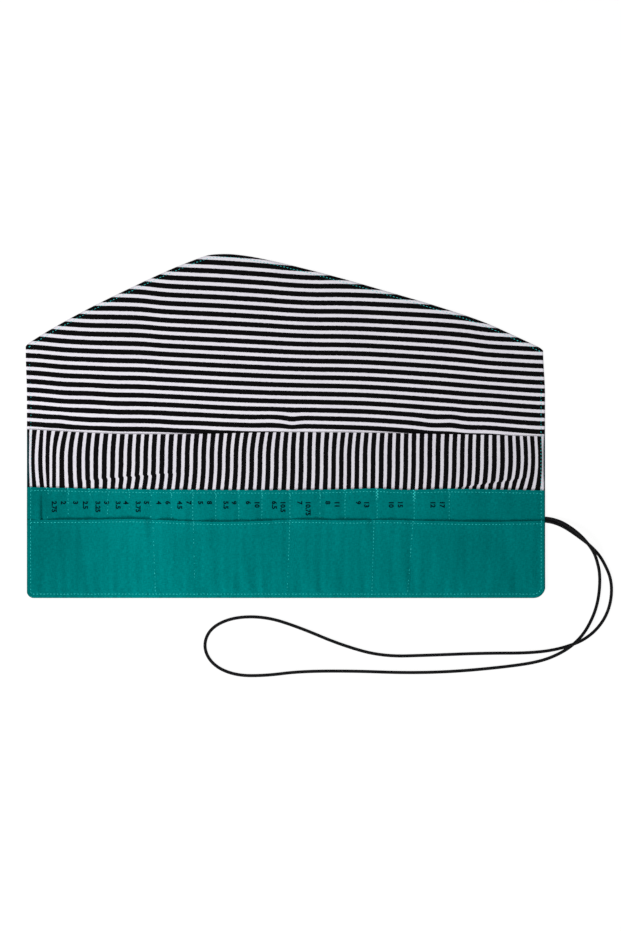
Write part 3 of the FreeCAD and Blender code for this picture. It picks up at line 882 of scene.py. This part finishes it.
def stitchNodes():
    # A chain of points becomes a row of small balls, drawn out along the chain and a little uneven
    group = bpy.data.node_groups.new("stitchRow", "GeometryNodeTree")
    face = group.interface
    face.new_socket("Geometry", in_out="INPUT", socket_type="NodeSocketGeometry")
    for label in ("Pitch", "Length", "Width", "Tall", "Wander", "Turn"):
        face.new_socket(label, in_out="INPUT", socket_type="NodeSocketFloat")
    face.new_socket("Seed", in_out="INPUT", socket_type="NodeSocketInt")
    face.new_socket("Material", in_out="INPUT", socket_type="NodeSocketMaterial")
    face.new_socket("Geometry", in_out="OUTPUT", socket_type="NodeSocketGeometry")
    put = group.nodes.new
    start, end = put("NodeGroupInput"), put("NodeGroupOutput")
    curve = put("GeometryNodeMeshToCurve")
    even = put("GeometryNodeResampleCurve")
    even.mode = "LENGTH"
    stray = put("FunctionNodeRandomValue")
    stray.data_type = "FLOAT_VECTOR"
    low, high = put("ShaderNodeVectorMath"), put("ShaderNodeVectorMath")
    for node, sign in ((low, -1), (high, 1)):
        node.operation = "MULTIPLY"
        node.inputs[1].default_value = (sign, sign, 0)
    place = put("GeometryNodeSetPosition")
    tangent = put("GeometryNodeInputTangent")
    aim = put("FunctionNodeAlignRotationToVector")
    aim.axis = "X"
    spin = put("FunctionNodeRandomValue")
    less = put("ShaderNodeMath")
    less.operation = "MULTIPLY"
    less.inputs[1].default_value = -1.0
    about = put("ShaderNodeCombineXYZ")
    turned = put("FunctionNodeRotateRotation")
    turned.rotation_space = "LOCAL"
    asTurn = put("FunctionNodeEulerToRotation")
    ball = put("GeometryNodeMeshUVSphere")
    for label, value in (("Segments", 8), ("Rings", 6), ("Radius", 0.5)):
        ball.inputs[label].default_value = value
    size = put("ShaderNodeCombineXYZ")
    copies = put("GeometryNodeInstanceOnPoints")
    real = put("GeometryNodeRealizeInstances")
    smooth = put("GeometryNodeSetShadeSmooth")
    paint = put("GeometryNodeSetMaterial")
    for source, label, target, entry in (
        (start, "Geometry", curve, "Mesh"), (curve, "Curve", even, "Curve"), (start, "Pitch", even, "Length"),
        (even, "Curve", place, "Geometry"), (start, "Wander", low, 0), (start, "Wander", high, 0),
        (low, "Vector", stray, 0), (high, "Vector", stray, 1), (start, "Seed", stray, "Seed"),
        (stray, 0, place, "Offset"), (tangent, "Tangent", aim, "Vector"), (start, "Turn", less, 0),
        (less, 0, spin, 2), (start, "Turn", spin, 3), (start, "Seed", spin, "Seed"), (spin, 1, about, "Z"),
        (about, "Vector", asTurn, "Euler"), (aim, "Rotation", turned, "Rotation"),
        (asTurn, "Rotation", turned, "Rotate By"), (start, "Length", size, "X"), (start, "Width", size, "Y"),
        (start, "Tall", size, "Z"), (place, "Geometry", copies, "Points"), (ball, "Mesh", copies, "Instance"),
        (turned, "Rotation", copies, "Rotation"), (size, "Vector", copies, "Scale"),
        (copies, "Instances", real, "Geometry"), (real, "Geometry", smooth, "Geometry"),
        (smooth, "Geometry", paint, "Geometry"), (start, "Material", paint, "Material"),
        (paint, "Geometry", end, "Geometry"),
    ):
        group.links.new(source.outputs[label], target.inputs[entry])
    return group


stitchGroup = stitchNodes()


def sewn(name, chains):
    # Chains of (x, y, z) in millimetres become one plain mesh of stitches
    vertices, edges = [], []
    for chain in chains:
        first = len(vertices)
        vertices += [tuple(v * mm for v in point) for point in chain]
        edges += [(first + i, first + i + 1) for i in range(len(chain) - 1)]
    lines = bpy.data.meshes.new(name + "Lines")
    lines.from_pydata(vertices, edges, [])
    guide = placed(name + "Guide", lines)
    modifier = guide.modifiers.new("stitchRow", "NODES")
    modifier.node_group = stitchGroup
    values = {label.title(): thread[label] * mm for label in ("pitch", "length", "width", "tall", "wander")}
    values.update(Turn=thread["turn"], Seed=thread["seed"], Material=threadCotton)
    for item in stitchGroup.interface.items_tree:
        if item.in_out == "INPUT" and item.name in values:
            modifier[item.identifier] = values[item.name]
    depsgraph = bpy.context.evaluated_depsgraph_get()
    mesh = bpy.data.meshes.new_from_object(guide.evaluated_get(depsgraph), depsgraph=depsgraph)
    mesh.name = name
    bpy.data.objects.remove(guide)
    bpy.data.meshes.remove(lines)
    piece = placed(name, mesh)
    return piece


def onCloth(points, height, raised):
    # Here and there the thread sinks into the cloth
    return [(drawnIn(x, y), y, height(x, y) + raised + thread["sink"] * wave("thread", x, y))
            for x, y in points]


def straight(start, end):
    # Points about 1 mm apart
    count = max(int(math.dist(start, end)), 1)
    return [(start[0] + (end[0] - start[0]) * i / count, start[1] + (end[1] - start[1]) * i / count)
            for i in range(count + 1)]


def flapRun(low, high):
    # The seam line inside the flap's edge from one X to another
    points = []
    count, inset = int(high - low), cloth["slantInset"]
    for i in range(count + 1):
        x = low + (high - low) * i / count
        lean = flapEdge(x + 0.5) - flapEdge(x - 0.5)
        tall = math.sqrt(1 + lean * lean)
        points.append((x + lean / tall * inset, flapEdge(x) - inset / tall))
    low = max(low, case["left"] + cloth["topInset"])
    high = min(high, case["right"] - cloth["topInset"])
    return [(x, y) for x, y in points if low <= x <= high]


def sideRun(side):
    # Down one side from the flap's fold zone to the corner, round it and along to the middle
    inset, corner = cloth["sideInset"], case["leftCorner" if side == "Left" else "rightCorner"]
    sign = -1 if side == "Left" else 1
    edge = sign * (case["right"] - inset)
    centre = (sign * (case["right"] - corner), case["bottom"] + corner)
    radius = corner - inset
    points = straight((edge, flapStart), (edge, centre[1]))
    points += [(centre[0] + sign * radius * math.cos(a), centre[1] - radius * math.sin(a))
               for a in [math.pi / 2 * i / 8 for i in range(1, 9)]]
    return points + straight((centre[0], case["bottom"] + inset), (0.0, case["bottom"] + inset))[1:]


def perimeterCloth(x, y):
    for mouth, topAt in (("front", frontTop), ("needle", needleTop), ("slip", slipTop)):
        if y < mouthAt(mouth, x):
            return topAt(x, y)
    return liningTop(x, y)


def perimeterHeight(x, y):
    # the thread sinks deeper along the left side
    atLeft = x < case["left"] + thread["leftReach"] and y < case["flapFold"]
    return perimeterCloth(x, y) - thread["leftSink"] * atLeft


def underside(x, y):
    return cloth["shell"] - shellThickness(x, y)


def broken(points, height, raised):
    # Where the thread steps from one cloth to the next, a new chain begins
    chains, run = [], []
    for x, y in points:
        z = height(x, y) + raised
        if run and abs(z - run[-1][2]) > thread["stepDown"]:
            chains.append(run)
            run = []
        run.append((drawnIn(x, y), y, z))
    chains.append(run)
    return [chain for chain in chains if len(chain) > 1]


def channelChains(seam):
    # One seam between two channels, with its doubled start and, at two of them, a zigzag
    top, foot = mouthAt("needle", seam) - 0.6, mouthAt("front", seam) - 1.0
    high = thread["tackHigh"]
    chains = [onCloth(straight((seam, top), (seam, foot)), needleTop, -0.19 if seam < -100 else -0.09),
              onCloth(straight((seam - 0.7, top), (seam + 0.5, top - 5.0)), needleTop, high)]
    if seam in thread["zigzag"]:
        steps = [(seam + thread["zigWide"] * (1 if i % 2 else -1), top - thread["zigStep"] * i)
                 for i in range(thread["zigPoints"])]
        chains += [onCloth([a, b], needleTop, high) for a, b in zip(steps, steps[1:])]
    return chains


def baseChains(region):
    low, high = baseRegions[region][:2]
    run, proud, ends = sideRun(region), thread["proud"], thread["hemEnds"]
    chains = broken(run, perimeterHeight, proud) + broken(run, underside, -proud)
    for mouth, topAt in (("needle", needleTop), ("front", frontTop)):
        line = [(x, mouthAt(mouth, x) - thread["hemDrops"][mouth]) for x, _ in straight((low, 0), (high, 0))]
        line = [(x, y) for x, y in line if case["left"] + ends < x < case["right"] - ends]
        chains.append(onCloth(line, topAt, proud))
    for seam in seams[1:-1]:
        if low < seam <= high:
            chains += channelChains(seam)
    for line in frontSeams:
        if low < line[0] <= high:
            places = [(frontSeamX(line, y), y) for y in (mouthAt("front", line[0]) - 1.0, case["bottom"] + 4.0)]
            chains.append(onCloth(straight(*places), frontTop, -0.17 if line[0] < 50 else -0.13))
    return chains


def flapChains(region):
    low, high = flapRegions[region][:2]
    runs = [flapRun(low, high)]
    if region != "Centre":
        edge = (case["right"] - cloth["topInset"]) * (-1 if region == "Left" else 1)
        end = runs[0][0] if region == "Left" else runs[0][-1]
        runs.append(straight((edge, flapStart), (edge, end[1])))
    chains = []
    for run, raised in zip(runs, (0.06, -0.16)):
        chains += [onCloth(run, liningTop, raised), onCloth(run, underside, -thread["proud"])]
    return chains


for region, (low, high, panels) in baseRegions.items():
    stitches = sewn(f"baseStitches{region}", baseChains(region))
    bendBase(stitches, region)
    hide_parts(*[f"{panel}_channel_seams" for panel in panels])
for region in flapRegions:
    bendFlap(sewn(f"flapStitches{region}", flapChains(region)), region)
print("stitched")

# ---- plain numbers over the channels, from the first graded channel on
numbers = dict(
    size=6.6, startY=-75.0, ink=0.03, fine=1.6, bold=0.27, proud=0.05, middle=286.0,
    places=[
        (54.5, "2.75"), (63.6, "2"), (75.8, "3"), (85.5, "2.5"), (98.0, "3.25"), (106.7, "3"),
        (118.2, "3.5"), (126.0, "4"), (138.2, "3.75"), (146.4, "5"), (158.8, "4"), (167.9, "6"),
        (179.7, "4.5"), (188.8, "7"), (200.5, "5"), (209.4, "8"), (225.8, "5.5"), (233.9, "9"),
        (248.2, "6"), (256.9, "10"), (274.2, "6.5"), (282.7, "10.5"), (299.5, "7"), (307.8, "10.75"),
        (327.6, "8"), (336.7, "11"), (358.0, "9"), (366.3, "13"), (390.8, "10"), (399.8, "15"),
        (432.4, "12"), (441.7, "17"),
    ],
)


def numberMesh(text, x, y):
    # One number, printed so that it reads down the channel
    font = bpy.data.curves.new("number", "FONT")
    font.body = text
    font.size = numbers["size"] * mm
    font.offset = numbers["bold"] * mm
    font.extrude = numbers["ink"] * mm
    font.resolution_u = 3
    font.align_y = "CENTER"
    shown = placed("number", font)
    depsgraph = bpy.context.evaluated_depsgraph_get()
    mesh = bpy.data.meshes.new_from_object(shown.evaluated_get(depsgraph), depsgraph=depsgraph)
    bpy.data.objects.remove(shown)
    shape = bmesh.new()
    shape.from_mesh(mesh)
    bmesh.ops.remove_doubles(shape, verts=shape.verts, dist=0.001 * mm)
    bmesh.ops.triangulate(shape, faces=shape.faces)
    long = [edge for edge in shape.edges if edge.calc_length() > numbers["fine"] * mm]
    bmesh.ops.subdivide_edges(shape, edges=long, cuts=1)
    bmesh.ops.triangulate(shape, faces=shape.faces)
    for vertex in shape.verts:
        across, along, raised = vertex.co
        placeX, placeY = x + along / mm, y - across / mm
        height = (needleTop(placeX, placeY) + numbers["proud"]) * mm + raised
        vertex.co = (placeX * mm, placeY * mm, height)
    shape.to_mesh(mesh)
    shape.free()
    return mesh


def makeNumbers():
    for region in baseRegions:
        whole = bmesh.new()
        for place, text in numbers["places"]:
            x = place - numbers["middle"]
            if (x < 0) == (region == "Left"):
                part = numberMesh(text, x, numbers["startY"])
                whole.from_mesh(part)
                bpy.data.meshes.remove(part)
        mesh = bpy.data.meshes.new(f"numbers{region}")
        whole.to_mesh(mesh)
        whole.free()
        mesh.materials.append(darkInk)
        bendBase(placed(f"numbers{region}", mesh), region)


makeNumbers()
print("numbered")

tails = bpy.data.objects["cord_tails"]
tails.data.materials.clear()
tails.data.materials.append(plainCloth("elasticEnds", (0.02, 0.02, 0.022)))
